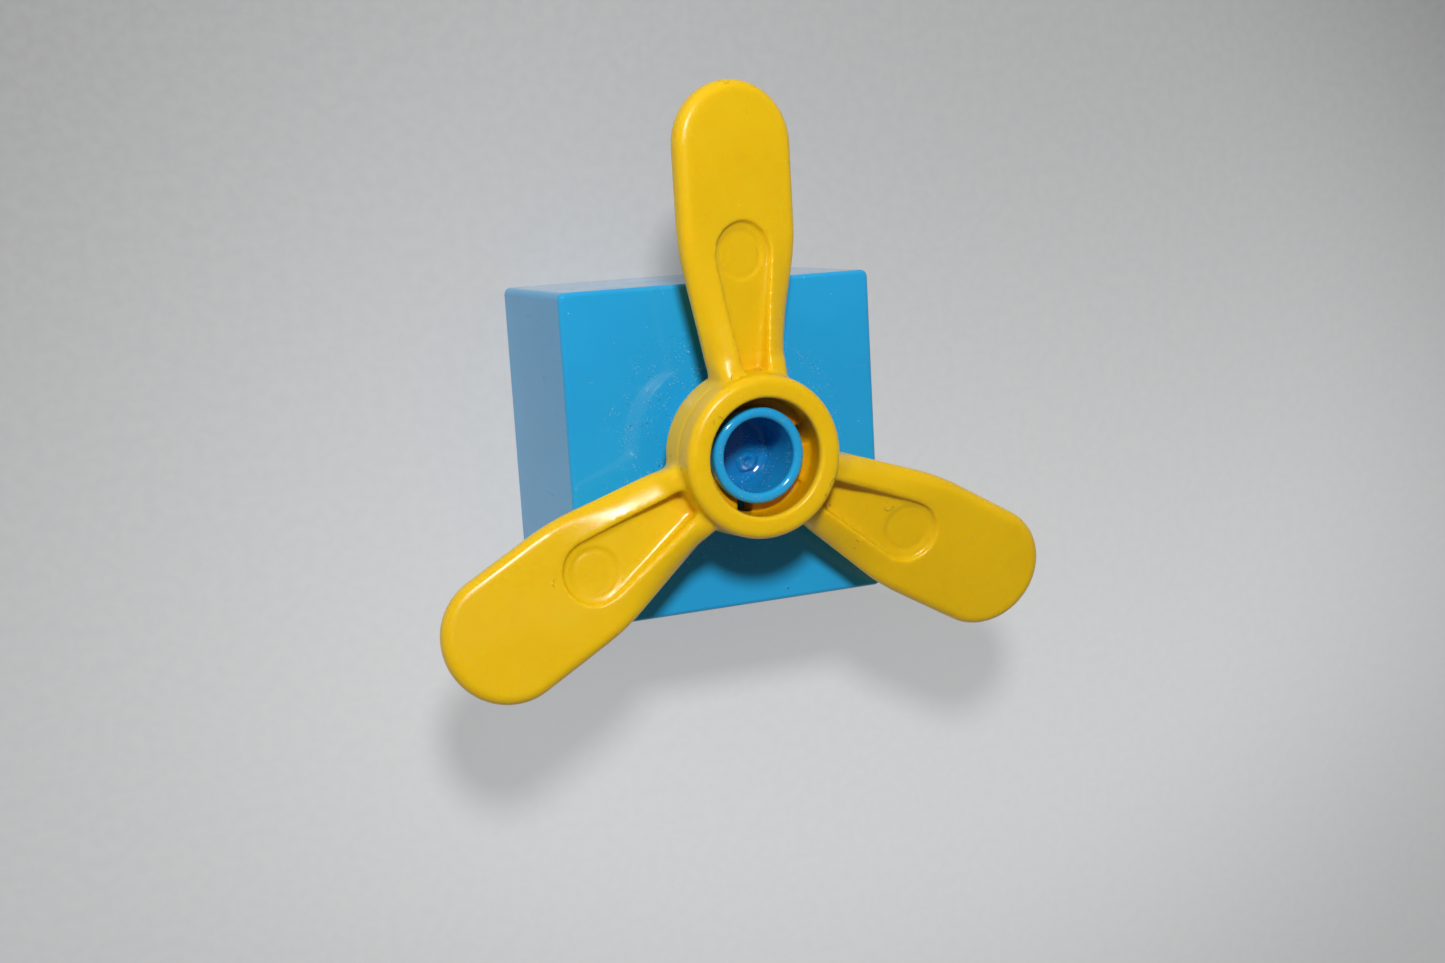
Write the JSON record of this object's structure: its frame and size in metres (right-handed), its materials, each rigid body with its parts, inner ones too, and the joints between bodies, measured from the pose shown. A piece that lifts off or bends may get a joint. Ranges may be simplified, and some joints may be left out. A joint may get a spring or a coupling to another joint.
{
  "type": "toddler propeller brick",
  "caption": "Toddler-size building brick with a smooth top and a moulded post, carrying a free-spinning three-blade propeller.",
  "frame": {"origin": "centre of the brick's underside, on the propeller's axis", "axes": "+Z along the propeller's axis, from the brick towards the hub's front; +X and +Y square to the brick's sides, with one blade along +Y at rest"},
  "size_m": [0.0609, 0.0544, 0.0287],
  "materials": {
    "brick_plastic": "glossy moulded ABS, sky blue, with fine handling scratches",
    "propeller_plastic": "glossy moulded ABS, warm yellow, with fine handling scratches"
  },
  "bodies": {
    "brick": {"brick_body": "brick_plastic"},
    "rotor": {"propeller": "propeller_plastic"}
  },
  "joints": [
    {"name": "propeller_spin", "type": "hinge", "parent": "brick", "child": "rotor", "pos_m": [0, 0, 0.0253], "axis": [0, 0, 1], "continuous": true}
  ]
}
